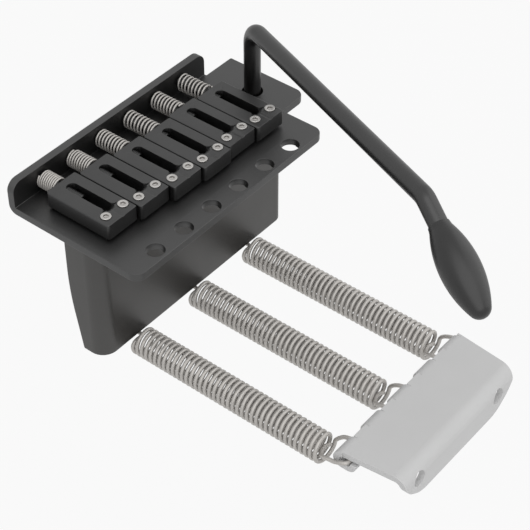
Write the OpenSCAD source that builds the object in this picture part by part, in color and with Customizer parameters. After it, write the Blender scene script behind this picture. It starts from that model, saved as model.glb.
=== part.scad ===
// Guitar tremolo bridge of the six-screw kind, with block saddles, arm, springs and spring claw.
// The origin is the middle of the row of mounting holes, on the underside of the base plate.
// +X points to the arm side, +Y to the tail of the guitar, +Z away from its body.

/* [Base plate] */
// Thickness of the plate's sheet
plate_t = 2.2; // [1.8:0.1:2.6]
// Width of the plate without its wing
plate_w = 72.9; // [71.4:0.1:76]
// From the row of mounting holes to the front edge
front_margin = 3.4; // [3:0.1:6]
// From the row of mounting holes to the outer face of the lip
lip_back = 39.6; // [39.4:0.1:41]
// Height of the lip above the plate's top face
lip_rise = 7.25; // [6.6:0.05:9]
// How far the lip stops short of the plate's side, on the arm side
lip_step = 0.4; // [0.1:0.1:1]
// How far the wing for the arm reaches past the plate's side
wing_w = 10.05; // [8.5:0.05:14]
// From the row of mounting holes to the front edge of the wing
wing_front = 10.6; // [8:0.1:14]
// How far the wing's rear edge lies in front of the lip's outer face
wing_back_step = 2.8; // [2.5:0.1:6]
// Radius of the plate's rounded corners
corner_r = 3; // [0.5:0.1:3.3]
// Outside radius of the bend at the foot of the lip
bend_r = 2.5; // [2.3:0.1:4]
// Diameter of the mounting holes
mount_hole_d = 4.84; // [4:0.02:5.2]
// Depth of the bevel that gives the rear of each mounting hole a knife edge from below
knife_depth = 1.1; // [0.5:0.1:1.3]

/* [Strings and saddles] */
// Pitch of the strings, the saddles and the mounting holes
pitch = 10.5; // [10.3:0.05:11]
// Gap between neighbouring saddles
saddle_gap = 0.3; // [0.2:0.05:0.6]
// Length of a saddle
saddle_l = 20.9; // [20:0.1:21.6]
// Height of a saddle
saddle_h = 4.4; // [4.1:0.1:6]
// Gap below a saddle at rest
saddle_lift = 0.9; // [0.5:0.05:2]
// Radius of a saddle's long top edges
saddle_edge_r = 1.1; // [0.3:0.1:1.4]
// Radius of a saddle's upright corners
saddle_corner_r = 0.7; // [0.2:0.1:0.9]
// From a saddle's front face to the front end of its slot
slot_front = 4.5; // [4.5:0.1:5.4]
// Width of the slot at its front end
slot_front_w = 2.5; // [1.6:0.1:3]
// Width of the rear part of the slot, round the intonation screw
slot_w = 3.3; // [3.2:0.1:3.8]
// From a saddle's front face to where its slot is fully wide
slot_wide_l = 10.6; // [9:0.1:13]
// Thickness of the wall behind the slot
slot_wall = 2.4; // [1.8:0.1:3]
// Depth of the string groove in front of the slot
groove_depth = 0.3; // [0.1:0.05:0.5]
// Diameter of the height and intonation screws
screw_d = 3; // [2.6:0.1:3.1]
// Spacing of the two height screws in a saddle
height_screw_pitch = 6.06; // [5.6:0.02:6.3]
// From a saddle's front face to its height screws
height_screw_set = 2.85; // [2.3:0.05:2.95]
// How far a height screw stands out of its saddle
height_screw_proud = 0.6; // [0.1:0.05:2]
// Width across the flats of a hex socket
hex_af = 1.5; // [1.3:0.1:1.6]
// Depth of a hex socket
hex_depth = 1.8; // [1.2:0.1:2.4]
// Height of the intonation screws above the plate's top face
screw_rise = 3.1; // [2.95:0.05:3.3]
// From the row of mounting holes to the front ends of the intonation screws
screw_end = 23.7; // [23:0.1:24.6]
// Diameter of the heads of the intonation screws
screw_head_d = 4.8; // [4.4:0.1:5.6]
// Height of those heads
screw_head_h = 1.7; // [1.5:0.1:2.4]
// Outer diameter of a saddle spring
saddle_spring_d = 5.4; // [4.9:0.1:5.6]
// Wire of the saddle springs
saddle_spring_wire = 0.45; // [0.4:0.05:0.5]

/* [Block] */
// From the row of mounting holes to the block's front face
block_front = 10.8; // [10.4:0.1:11.4]
// Depth of the block from front to rear, at the plate
block_depth = 10.8; // [10.4:0.1:12]
// Length of the block across the strings
block_w = 73; // [72:0.1:73.6]
// How far the block's end lies inside the plate's side, away from the arm
block_side = 0.45; // [0:0.05:1.5]
// Height of the block below the plate
block_h = 35.25; // [32:0.25:38]
// Depth below the plate at which the rear face starts to turn forward
rear_straight = 9; // [6:0.5:12]
// Radius of that turn
rear_turn_r = 86; // [60:1:90]
// Slope of the rear face below the turn
rear_slope = 10; // [6:0.5:10.5]
// Radius of the front corner away from the arm
block_corner_r = 4.5; // [1:0.1:6]
// Radius of the front corner on the arm side
block_arm_corner_r = 2.75; // [1:0.05:5]
// From the block's front face to the string bores
string_set = 4.4; // [4.2:0.1:4.5]
// Diameter of the string holes
string_hole_d = 3.2; // [2.4:0.1:3.4]
// Diameter of the bores for the strings' ball ends
ball_bore_d = 4.2; // [3.9:0.1:4.4]
// Depth of the string holes' narrow part, below the plate
ball_seat = 13; // [8:0.5:20]
// Diameter of the three screws between plate and block
block_screw_d = 4; // [3:0.1:4.2]
// Diameter of the heads of these screws
block_screw_head_d = 6.8; // [6:0.1:7]
// From the block's rear face to these screws
block_screw_set = 4; // [3.8:0.1:4.2]
// Length of these screws below the plate
block_screw_l = 10; // [6:0.5:14]

/* [Arm] */
// Diameter of the arm's rod
arm_d = 4.6; // [4:0.1:5.2]
// From the block's arm-side end out to the arm's post
arm_side = 1.4; // [1:0.05:1.8]
// From the block's rear face back to the arm's post
arm_back = 0.9; // [0:0.1:1.2]
// Clearance round the post in the plate
arm_plate_clear = 1; // [0.5:0.1:1.3]
// Diameter of the boss that carries the arm
boss_d = 10; // [9.4:0.1:11]
// Height of the boss below the plate
boss_h = 20; // [19:0.5:26]
// Depth of the post in the boss, below the plate's underside
arm_seat = 13; // [9:0.5:15]
// Height above the plate's underside where post and shaft would cross
arm_corner_z = 22.43; // [19:0.1:30]
// Radius of the lower bend, on the rod's centre line
arm_bend_r = 5.5; // [4:0.1:9]
// Rise of the shaft
arm_rise = 8.65; // [2:0.05:20]
// Length of the shaft between the corners of its two bends
arm_l = 94.7; // [70:0.1:120]
// Angle of the shaft away from the strings' line, seen from above
arm_toe = 27.2; // [0:0.1:60]
// Fall of the tip's section
tip_fall = 22.7; // [10:0.1:35]
// Radius of the upper bend, on the rod's centre line
tip_bend_r = 5; // [3.5:0.1:9]
// From the upper bend's corner to the start of the plastic tip
tip_start = 5.5; // [4:0.1:8]
// Length of the tip
tip_l = 25.1; // [23:0.1:27]
// Greatest diameter of the tip
tip_d = 9.35; // [8:0.05:11]
// Diameter of the tip's collar, beyond the rod's
tip_collar = 0.25; // [0.1:0.05:0.6]
// From the tip's start to its greatest diameter
tip_belly = 12.9; // [11.5:0.1:14]
// Radius of the tip's barrel curve
tip_curve_r = 26.3; // [22:0.1:34]
// Radius of the tip's domed end
tip_end_r = 3.1; // [2.6:0.1:4]

/* [Springs and claw] */
// Pitch of the spring anchors in the block and of the hooks on the claw
anchor_pitch = 11.15; // [10.4:0.05:11.4]
// From the block's front face to the spring anchors
anchor_set = 1.7; // [1.6:0.05:1.8]
// Depth of a spring's end in the block
anchor_depth = 5; // [3:0.5:8]
// Outer diameter of a tension spring
spring_d = 8.6; // [7.6:0.1:9.2]
// Wire of the tension springs
spring_wire = 1.1; // [0.9:0.05:1.2]
// Depth of the springs' axis below the block's foot
spring_drop = 2.25; // [2.1:0.05:2.8]
// From the row of mounting holes to the front of the claw's hooks
claw_front = 54.6; // [50:0.1:70]
// From the hooks' front to the first coil of a tension spring
spring_lead = 5.15; // [4.4:0.05:7]
// Height of the hooks' middle above the springs' axis
hook_rise = 3.6; // [2.6:0.1:4.2]
// From the front turn of a hook's roll back to the end of the spring's loop
loop_back = 1.4; // [0.2:0.1:1.6]
// Thickness of the claw's sheet
claw_t = 1.4; // [1.1:0.1:1.8]
// Width of a hook
hook_w = 6.2; // [5:0.1:6.6]
// Length of a hook's roll between the middles of its two turns
hook_l = 1.7; // [1.2:0.1:3]
// Slit between the end of the roll and the sheet
hook_slit = 0.5; // [0.3:0.1:0.9]
// How far the edge between the hooks lies behind the hooks' front
hook_recess = 1.1; // [0.8:0.1:2]
// From the outermost hooks' middle to the claw's side
claw_side = 3.8; // [3.6:0.1:6]
// How much narrower the sheet is at its bend, on each side
claw_neck = 1.5; // [0.5:0.1:3]
// From the hooks' front to the outer face of the flange
claw_depth = 19.9; // [17:0.1:24]
// Height of the flange, from the claw's top face
flange_h = 9.5; // [8.8:0.1:13]
// Outside radius of the bend between sheet and flange
claw_bend_r = 2.2; // [2:0.1:2.2]
// How much narrower the flange is than the sheet, on each side
flange_step = 2.2; // [0.5:0.1:3]
// How far the flange's shoulder lies inside its side
flange_shoulder = 0.7; // [0.3:0.1:2]
// Height of the shoulder above the flange's foot
flange_shoulder_h = 4.6; // [3.5:0.1:5]
// How far the foot's corner lies inside the flange's side
flange_foot = 5.7; // [4.5:0.1:8]
// Spacing of the two screw holes in the flange
claw_hole_pitch = 34.4; // [28:0.1:36]
// Diameter of the screw holes in the flange
claw_hole_d = 4.3; // [3.6:0.1:4.4]
// From the claw's top face down to the screw holes
claw_hole_drop = 4.35; // [4.35:0.05:4.8]

/* [Hidden] */
$fn = 64;

// Colours
black_metal = "#2c2c2e";
black_plastic = "#161617";
nickel = "#c9c7c2";
spring_steel = "#b8b4ad";
claw_steel = "#bdbdbf";

// Set-up of the six saddles: distance from the row of mounting holes to each front face
saddle_front = [10.15, 8.95, 7.35, 6.45, 7.2, 6.4];
strings = 6;
hooks = 5;
// The tension springs hang in the middle hook and this many hooks to each side
hook_step = 2;

// Clearances: a running fit, a loose seat, a threaded fit, and the overlap of a cut past a face
run_fit = 0.05;
seat_fit = 0.15;
thread_fit = 0.05;
cut = 1;

plate_side = plate_w / 2;
lip_front = lip_back - plate_t;
lip_z = plate_t + lip_rise;
saddle_w = pitch - saddle_gap;
saddle_z = plate_t + saddle_lift;
saddle_top = saddle_z + saddle_h;
screw_z = plate_t + screw_rise;
tapped_r = screw_d / 2 + thread_fit;
lip_hole_r = screw_d / 2 + seat_fit + run_fit;
block_rear = block_front + block_depth;
block_x0 = block_side - plate_side;
block_x1 = block_x0 + block_w;
string_y = block_front + string_set;
block_screw_y = block_rear - block_screw_set;
block_screw_head_r = block_screw_head_d / 2;
arm_x = block_x1 + arm_side;
arm_y = block_rear + arm_back;
arm_bore_r = arm_d / 2 + run_fit;
bore_floor = 2;
arm_spring_wire = 0.5;
screw_edge = 0.2;
ramp_run = 4;
saddle_spring_r = (saddle_spring_d - saddle_spring_wire) / 2;
spring_r = (spring_d - spring_wire) / 2;
spring_z = -block_h - spring_drop;
anchor_y = block_front + anchor_set;
anchor_r = spring_wire / 2 + seat_fit;

// Turns that the springs show: the tension springs end half a turn round from where they start
spring_turns = 16.5;
saddle_spring_turns = 4;
arm_spring_turns = 3;
rings = 8;

// The claw's roll: its inside just passes the wire
roll_in = spring_wire / 2 + seat_fit;
roll_out = roll_in + claw_t;
roll_y = -claw_front - roll_out;
roll_z = spring_z + hook_rise;
claw_top = roll_z + roll_out;
claw_half = anchor_pitch * (hooks - 1) / 2 + claw_side;
flange_y = -claw_front - claw_depth;
flange_shoulder_r = 5;
flange_foot_r = 6;

// Outlines and wires

function string_x(i) = (i - (strings + 1) / 2) * pitch;
function hook_x(place) = place * anchor_pitch;
function unit(v) = v / norm(v);
function flat(p) = [p[0], p[1]];

// Outline with rounded corners, from a list of corners [x, y, radius]
function rounded(corners) = [
    for (i = [0 : len(corners) - 1])
    let (
        n = len(corners),
        p = flat(corners[i]),
        r = corners[i][2],
        back = unit(flat(corners[(i + n - 1) % n]) - p),
        ahead = unit(flat(corners[(i + 1) % n]) - p),
        half = acos(back * ahead) / 2,
        middle = p + unit(back + ahead) * r / sin(half),
        first = p + back * r / tan(half) - middle,
        sweep = (180 - 2 * half) * (cross(back, ahead) < 0 ? 1 : -1),
        steps = r > 0 ? max(3, ceil(abs(sweep) / 9)) : 0
    )
    for (k = [0 : steps])
        r > 0
            ? middle + turned(first, sweep * k / steps)
            : p
];
function turned(v, a) = [v[0] * cos(a) - v[1] * sin(a), v[0] * sin(a) + v[1] * cos(a)];

// Direction of a path at each point, and a side vector that is carried along it without a twist
function directions(path) = [
    for (i = [0 : len(path) - 1])
        unit(path[min(i + 1, len(path) - 1)] - path[max(i - 1, 0)])
];
function square_to(v, t) = unit(v - (v * t) * t);
function sides(t) = [
    for (i = 0, v = square_to([0.31, 0.17, 0.93], t[0]); i < len(t);
        i = i + 1, v = i < len(t) ? square_to(v, t[i]) : v) v
];

// A wire of six sides along a path, as one unbroken tube
module wire(path, d) {
    n = len(path);
    t = directions(path);
    s = sides(t);
    points = [
        for (i = [0 : n - 1], k = [0 : 5])
            path[i] + d / 2 * (cos(60 * k) * s[i] + sin(60 * k) * cross(t[i], s[i]))
    ];
    last = 6 * (n - 1);
    skin = [
        for (i = [0 : n - 2], k = [0 : 5])
        let (a = 6 * i + k, b = 6 * i + (k + 1) % 6)
        for (face = [[a, a + 6, b], [b, a + 6, b + 6]]) face
    ];
    ends = [for (k = [1 : 4]) for (face = [[0, k, k + 1], [last, last + k + 1, last + k]]) face];
    polyhedron(points = points, faces = concat(skin, ends), convexity = 10);
}

// Least gap between stretches of a wire that are more than four diameters apart along it
function lengths(path) = [
    for (i = 0, run = 0; i < len(path);
        i = i + 1, run = run + (i < len(path) ? norm(path[i] - path[i - 1]) : 0)) run
];
function least_gap(path, d) =
    let (run = lengths(path))
    min([
        for (i = [0 : len(path) - 2], j = [i + 1 : len(path) - 1])
            if (run[j] - run[i] > 4 * d) norm(path[i] - path[j])
    ]) - d;

// Point on a coil round the Y axis, from the length wound so far
function on_coil(r, wound, y) =
    let (a = -wound / r * 180 / PI)
    [r * cos(a), y, r * sin(a)];

// A compression spring along Y: each end runs straight for one wire diameter, square to its seat
function compression_path(r, y0, y1, d, turns) =
    let (
        steps = rings * turns,
        wound = turns * 2 * PI * r,
        y_first = y0 + 2 * d,
        y_last = y1 - 2 * d
    )
    concat(
        [on_coil(r, 0, y0)],
        [for (a = [0, 45, 90]) on_coil(r, d * (1 - cos(a)), y0 + d + d * sin(a))],
        [for (i = [1 : steps - 1])
            on_coil(r, d + wound * i / steps, y_first + (y_last - y_first) * i / steps)],
        [for (a = [90, 45, 0])
            on_coil(r, wound + 2 * d - d * (1 - cos(a)), y1 - d - d * sin(a))],
        [on_coil(r, wound + 2 * d, y1)]
    );

// A tension spring along Y, round its own axis: loop in the claw, coil, end in the block
coil_y0 = spring_lead - claw_front;
coil_y1 = block_front - spring_wire - 0.05;
leg_x = hook_w / 2 + spring_wire / 2 + seat_fit + 0.1;
loop_r = spring_wire * 0.82;
end_r = spring_wire * 0.9;
under_z = spring_drop - seat_fit - spring_wire / 2;
loop_y = roll_y - loop_back;
leg_run = [0, coil_y0 - loop_y, -hook_rise];

function on_loop(x, back) = [x, loop_y, hook_rise] + back * unit(leg_run);
function loop_corner(side) = [
    for (a = side < 0 ? [0, 30, 60, 90] : [90, 60, 30, 0])
        on_loop(side * (leg_x - loop_r + loop_r * cos(a)), loop_r * (1 - sin(a)))
];
spring_path = concat(
    [on_loop(-leg_x, norm(leg_run) - 1.2 * spring_wire)],
    loop_corner(-1),
    loop_corner(1),
    [on_loop(leg_x, norm(leg_run) - 1.4 * spring_wire)],
    [for (i = [0 : rings * spring_turns])
        on_coil(spring_r, 2 * PI * spring_r * i / rings,
            coil_y0 + (coil_y1 - coil_y0) * i / (rings * spring_turns))],
    [for (a = [30, 60, 90])
        [-spring_r + under_z * (1 - cos(a)), coil_y1, under_z * sin(a)]],
    [for (a = [0, 30, 60, 90])
        [-end_r * (1 - sin(a)), coil_y1 + end_r * (1 - cos(a)), under_z]],
    [for (a = [0, 30, 60, 90])
        [0, anchor_y - end_r * (1 - sin(a)), under_z + end_r * (1 - cos(a))]],
    [[0, anchor_y, spring_drop + anchor_depth]]
);

echo(str("tension spring, least gap to itself in mm: ", least_gap(spring_path, spring_wire)));
for (i = [1 : strings])
    echo(str("saddle spring ", i, ", least gap to itself in mm: ",
        least_gap(saddle_spring_path(i), saddle_spring_wire)));
echo(str("arm spring, least gap to itself in mm: ", least_gap(arm_spring_path, arm_spring_wire)));

// Shared shapes

// Turns an outline in Y and Z into a bar along X
module along_x(x0, x1) {
    translate([x0, 0, 0])
        rotate([90, 0, 90])
            linear_extrude(x1 - x0) children();
}

// What is left outside a rounded upright corner of the solid that lies towards -X and -Y
module corner_cut(r, h) {
    difference() {
        translate([-r, -r, 0]) cube([r + cut, r + cut, h]);
        translate([-r, -r, -cut]) cylinder(r = r, h = h + 2 * cut);
    }
}

// Cross recess in the top of a screw head of diameter d
module cross_recess(d) {
    w = d * 0.13;
    l = d * 0.56;
    depth = d * 0.18;
    for (a = [0, 90])
        rotate([0, 0, a])
            translate([-l / 2, -w / 2, -depth]) cube([l, w, depth + cut]);
}

// Base plate

module plate_outline() {
    lip_x = plate_side - lip_step;
    flat_back = lip_back - bend_r;
    wing_back = lip_back - wing_back_step;
    polygon(rounded([
        [-plate_side, -front_margin, corner_r],
        [plate_side, -front_margin, corner_r],
        [plate_side, wing_front, 0.6],
        [plate_side + wing_w, wing_front, corner_r],
        [plate_side + wing_w, wing_back, 0.3],
        [lip_x, wing_back, 0],
        [lip_x, flat_back, 0],
        [-plate_side, flat_back, 0]
    ]));
}

// Lip with a rounded outer bend, as an outline in Y and Z
module lip_outline() {
    difference() {
        union() {
            translate([lip_front, 0]) square([plate_t, lip_z]);
            translate([lip_back - bend_r - 0.01, 0]) square([bend_r + 0.01, plate_t]);
        }
        difference() {
            translate([lip_back - bend_r, -cut]) square([bend_r + cut, bend_r + cut]);
            translate([lip_back - bend_r, bend_r]) circle(r = bend_r);
        }
    }
}

module lip() {
    lip_x = plate_side - lip_step;
    difference() {
        along_x(-plate_side, lip_x) lip_outline();
        for (end = [[-plate_side, -1], [lip_x, 1]])
            translate([end[0], lip_back + cut, lip_z])
                scale_side(end[1])
                    rotate([90, 0, 0]) corner_cut(corner_r, plate_t + 2 * cut);
    }
}

module scale_side(side) {
    if (side < 0) mirror([1, 0, 0]) children();
    else children();
}

// Bevel below the rear half of a mounting hole, so that the plate rocks on a thin edge there
module knife_bevel() {
    d = mount_hole_d + 2 * knife_depth;
    intersection() {
        cylinder(d1 = d, d2 = mount_hole_d, h = knife_depth);
        translate([-d, 0, -cut]) cube([2 * d, d, knife_depth + 2 * cut]);
    }
}

module base_plate() {
    color(black_metal)
    difference() {
        union() {
            linear_extrude(plate_t) plate_outline();
            lip();
        }
        for (i = [1 : strings]) {
            translate([string_x(i), 0, -cut]) cylinder(d = mount_hole_d, h = plate_t + 2 * cut);
            translate([string_x(i), 0, -0.01]) knife_bevel();
            translate([string_x(i), string_y, -cut])
                cylinder(d = string_hole_d, h = plate_t + 2 * cut);
            translate([string_x(i), lip_back + cut, screw_z])
                rotate([90, 0, 0]) cylinder(r = lip_hole_r, h = plate_t + 2 * cut);
        }
        for (x = block_screw_places) {
            translate([x, block_screw_y, -cut])
                cylinder(r = block_screw_d / 2 + run_fit, h = plate_t + 2 * cut);
            translate([x, block_screw_y, plate_t - block_screw_head_h])
                cylinder(r1 = block_screw_d / 2 + run_fit, r2 = block_screw_head_r + run_fit,
                    h = block_screw_head_h + 0.01);
        }
        translate([arm_x, arm_y, -cut])
            cylinder(r = arm_d / 2 + arm_plate_clear, h = plate_t + 2 * cut);
    }
}

// Block

block_screw_places = [-2 * pitch, 0, 2 * pitch];
block_screw_head_h = block_screw_head_r - block_screw_d / 2;

// The rear face drops straight, turns forward along a large radius and runs on at a slope
module block_outline() {
    corner_z = -rear_straight - rear_turn_r * tan(rear_slope / 2);
    slope_y = block_rear - rear_turn_r * (1 - cos(rear_slope));
    slope_z = -rear_straight - rear_turn_r * sin(rear_slope);
    foot_y = block_rear - tan(rear_slope) * (corner_z + block_h);
    difference() {
        polygon([
            [block_front, -block_h],
            [foot_y, -block_h],
            [block_rear, corner_z],
            [block_rear, 0],
            [block_front, 0]
        ]);
        difference() {
            polygon([[block_rear, -rear_straight], [block_rear + cut, corner_z], [slope_y, slope_z]]);
            translate([block_rear - rear_turn_r, -rear_straight]) circle(r = rear_turn_r, $fn = 360);
        }
    }
}

module tremolo_block() {
    color(black_metal)
    difference() {
        union() {
            difference() {
                along_x(block_x0, block_x1) block_outline();
                translate([block_x0, block_front, -block_h - cut])
                    rotate([0, 0, 180]) corner_cut(block_corner_r, block_h + 2 * cut);
                translate([block_x1, block_front, -block_h - cut])
                    rotate([0, 0, -90]) corner_cut(block_arm_corner_r, block_h + 2 * cut);
            }
            translate([arm_x, arm_y, -boss_h]) cylinder(d = boss_d, h = boss_h);
        }
        for (i = [1 : strings]) {
            translate([string_x(i), string_y, -block_h - cut])
                cylinder(d = string_hole_d, h = block_h + 2 * cut);
            translate([string_x(i), string_y, -block_h - cut])
                cylinder(d = ball_bore_d, h = block_h + cut - ball_seat);
        }
        for (place = [-2 : 2])
            translate([hook_x(place), anchor_y, -block_h - cut])
                cylinder(r = anchor_r, h = cut + anchor_depth + 1);
        for (x = block_screw_places)
            translate([x, block_screw_y, -block_screw_l - 1])
                cylinder(d = block_screw_d, h = block_screw_l + 1 + cut);
        translate([arm_x, arm_y, bore_floor - boss_h])
            cylinder(r = arm_bore_r, h = boss_h - bore_floor + cut);
    }
}

module block_screws() {
    color(black_metal)
    for (x = block_screw_places)
        translate([x, block_screw_y, 0])
            difference() {
                union() {
                    translate([0, 0, -block_screw_l]) cylinder(d = block_screw_d, h = block_screw_l + cut);
                    translate([0, 0, plate_t - block_screw_head_h])
                        cylinder(r1 = block_screw_d / 2, r2 = block_screw_head_r, h = block_screw_head_h);
                }
                translate([0, 0, plate_t]) cross_recess(block_screw_head_r * 2);
            }
}

// Saddles

// Slot from the front end's round, widening to the part that the intonation screw reaches into
module slot_outline() {
    r0 = slot_front_w / 2;
    r1 = slot_w / 2;
    y1 = saddle_l - slot_wall - r1;
    translate([0, slot_front + r0]) circle(r = r0);
    polygon([[-r0, slot_front + r0], [r0, slot_front + r0], [r1, slot_wide_l], [-r1, slot_wide_l]]);
    translate([-r1, slot_wide_l - 0.01]) square([slot_w, y1 - slot_wide_l + 0.01]);
    translate([0, y1]) circle(r = r1);
}

// Cross section of a saddle with its rounded top edges
module saddle_section() {
    polygon(rounded([
        [-saddle_w / 2, 0, 0.2],
        [saddle_w / 2, 0, 0.2],
        [saddle_w / 2, saddle_h, saddle_edge_r],
        [-saddle_w / 2, saddle_h, saddle_edge_r]
    ]));
}

module at_saddle(i) {
    translate([string_x(i), saddle_front[i - 1], saddle_z]) children();
}

module saddle(i) {
    color(black_metal)
    at_saddle(i)
    difference() {
        translate([0, saddle_l, 0]) rotate([90, 0, 0]) linear_extrude(saddle_l) saddle_section();
        for (turn = [0, 90, 180, 270]) {
            across = turn % 180 == 0;
            translate([0, saddle_l / 2, -cut])
                rotate([0, 0, turn])
                    translate([(across ? saddle_w : saddle_l) / 2, (across ? saddle_l : saddle_w) / 2, 0])
                        corner_cut(saddle_corner_r, saddle_h + 2 * cut);
        }
        translate([0, 0, -cut]) linear_extrude(saddle_h + 2 * cut) slot_outline();
        string_groove();
        for (side = [-1, 1])
            translate([side * height_screw_pitch / 2, height_screw_set, -cut])
                cylinder(r = tapped_r, h = saddle_h + 2 * cut);
        translate([0, saddle_l + cut, screw_z - saddle_z])
            rotate([90, 0, 0]) cylinder(r = tapped_r, h = slot_wall + 2 * cut);
    }
}

// Shallow groove for the string, and a soft ramp from it down into the slot
module string_groove() {
    r = slot_front_w / 2;
    translate([0, slot_front + r, saddle_h + r - groove_depth])
        rotate([90, 0, 0]) cylinder(r = r, h = slot_front + r + cut);
    translate([0, slot_front - 0.4, saddle_h + r * 0.55])
        rotate([-125, 0, 0]) cylinder(r = r, h = ramp_run);
}

// Lower half of a ball
module ball_end(r) {
    rotate_extrude()
        intersection() {
            circle(r = r);
            translate([0, -r]) square(r);
        }
}

module height_screws(i) {
    r = screw_d / 2;
    top = saddle_top + height_screw_proud;
    edge = screw_edge;
    color(nickel)
    for (side = [-1, 1])
        translate([string_x(i) + side * height_screw_pitch / 2, saddle_front[i - 1] + height_screw_set, 0])
            difference() {
                union() {
                    translate([0, 0, plate_t + r]) ball_end(r);
                    translate([0, 0, plate_t + r]) cylinder(r = r, h = top - plate_t - r - edge);
                    translate([0, 0, top - edge]) cylinder(r1 = r, r2 = r - edge, h = edge);
                }
                translate([0, 0, top - hex_depth])
                    cylinder(d = hex_af / cos(30), h = hex_depth + cut, $fn = 6);
            }
}

// Screw head with a crown in two steps
module crowned_head(r, h) {
    step = h / 3;
    rotate_extrude()
        polygon([[0, 0], [r, 0], [r, step], [r - 0.6 * step, 2 * step], [r - 2 * step, h], [0, h]]);
}

module intonation_screw(i) {
    head_y = lip_back + seat_fit;
    edge = screw_edge;
    color(black_metal)
    translate([string_x(i), 0, screw_z])
        rotate([-90, 0, 0])
            difference() {
                union() {
                    translate([0, 0, screw_end])
                        cylinder(r1 = screw_d / 2 - edge, r2 = screw_d / 2, h = edge);
                    translate([0, 0, screw_end + edge]) cylinder(d = screw_d, h = head_y - screw_end);
                    translate([0, 0, head_y]) crowned_head(screw_head_d / 2, screw_head_h);
                }
                translate([0, 0, head_y + screw_head_h]) cross_recess(screw_head_d);
            }
}

function saddle_spring_path(i) = compression_path(saddle_spring_r,
    saddle_front[i - 1] + saddle_l + seat_fit, lip_front - seat_fit,
    saddle_spring_wire, saddle_spring_turns);

module saddle_spring(i) {
    color(spring_steel)
    translate([string_x(i), 0, screw_z])
        wire(saddle_spring_path(i), saddle_spring_wire);
}

// Arm, made along its own plane: X' is the shaft's direction seen from above

arm_turn = 90 - arm_rise;
tip_turn = arm_rise + tip_fall;
post_top = arm_corner_z - arm_bend_r * tan(arm_turn / 2);
shaft_start = arm_bend_r * tan(arm_turn / 2);
shaft_end = arm_l - tip_bend_r * tan(tip_turn / 2);
tip_pin_d = arm_d * 0.76;
tip_pin_l = tip_l * 0.6;
pin_play = 0.2;
bend_swell = 0.02;
arm_chamfer = 0.5;
weld = 0.2;

module in_arm_plane() {
    translate([arm_x, arm_y, 0]) rotate([0, 0, -90 - arm_toe]) children();
}

// Carries on from the corner of the lower bend, with Z along the shaft
module on_shaft() {
    translate([0, 0, arm_corner_z]) rotate([0, arm_turn, 0]) children();
}

// Carries on from the corner of the upper bend, with Z along the tip
module on_tip() {
    on_shaft() translate([0, 0, arm_l]) rotate([0, tip_turn, 0]) children();
}

// Bend of the rod towards X', starting at the origin along Z; bending swells the rod by a hair
module rod_bend(r, turn) {
    translate([r, 0, 0])
        rotate([90, 0, 0])
            rotate([0, 0, 180 - turn])
                rotate_extrude(angle = turn, $fn = 96) translate([r, 0]) circle(d = arm_d + bend_swell);
}

module tremolo_arm() {
    color(black_metal)
    in_arm_plane() {
        translate([0, 0, -arm_seat])
            cylinder(r1 = arm_d / 2 - arm_chamfer, r2 = arm_d / 2, h = arm_chamfer);
        translate([0, 0, arm_chamfer - arm_seat])
            cylinder(d = arm_d, h = post_top + arm_seat - arm_chamfer + weld);
        translate([0, 0, post_top]) rod_bend(arm_bend_r, arm_turn);
        on_shaft() {
            translate([0, 0, shaft_start - weld])
                cylinder(d = arm_d, h = shaft_end - shaft_start + 2 * weld);
            translate([0, 0, shaft_end]) rod_bend(tip_bend_r, tip_turn);
        }
        on_tip() {
            translate([0, 0, arm_l - shaft_end - weld])
                cylinder(d = arm_d, h = tip_start - arm_l + shaft_end + weld);
            translate([0, 0, tip_start - weld]) cylinder(d = tip_pin_d, h = tip_pin_l + weld);
        }
    }
}

// Collar, then a barrel curve that ends in a dome
module arm_tip() {
    color(black_plastic)
    in_arm_plane() on_tip() translate([0, 0, tip_start])
    difference() {
        rotate_extrude() {
            square([(arm_d + tip_collar) / 2, tip_l / 2]);
            intersection() {
                translate([tip_d / 2 - tip_curve_r, tip_belly]) circle(r = tip_curve_r, $fn = 360);
                square([tip_d, tip_l + cut]);
                union() {
                    square([tip_d, tip_l - tip_end_r]);
                    translate([0, tip_l - tip_end_r]) circle(r = tip_end_r);
                }
            }
        }
        translate([0, 0, -cut]) cylinder(d = tip_pin_d, h = tip_pin_l + cut + pin_play);
    }
}

// Small spring under the arm's post, which holds the arm where it is put
arm_spring_path = compression_path(arm_d / 2 - arm_chamfer - arm_spring_wire / 2 - run_fit,
    bore_floor - boss_h, -arm_seat, arm_spring_wire, arm_spring_turns);

module arm_spring() {
    color(spring_steel)
    translate([arm_x, arm_y, 0]) rotate([90, 0, 0]) wire(arm_spring_path, arm_spring_wire);
}

// Tension springs and claw

module tension_spring(k) {
    color(spring_steel)
    translate([hook_x((k - 2) * hook_step), 0, spring_z]) wire(spring_path, spring_wire);
}

module roll_outline(r) {
    translate([roll_y, roll_z]) circle(r = r);
    translate([roll_y - hook_l, roll_z]) circle(r = r);
    translate([roll_y - hook_l, roll_z - r]) square([hook_l, 2 * r]);
}

// Hook: the sheet's tongue rolled down, back and up again, with a slit left below the sheet
module hook() {
    along_x(-hook_w / 2, hook_w / 2)
    difference() {
        roll_outline(roll_out);
        roll_outline(roll_in);
        translate([roll_y - hook_l - roll_out - cut, roll_z + roll_in - hook_slit])
            square([roll_out + cut, hook_slit]);
    }
}

module claw_sheet() {
    front = -claw_front - hook_recess;
    bend = flange_y + claw_bend_r;
    difference() {
        polygon(rounded([
            [-claw_half, front, 0.5],
            [claw_half, front, 0.5],
            [claw_half - claw_neck, bend, 0],
            [claw_neck - claw_half, bend, 0]
        ]));
        for (place = [-2 : 2])
            translate([hook_x(place) - hook_w / 2, roll_y])
                square([hook_w, claw_front + cut]);
    }
}

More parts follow.
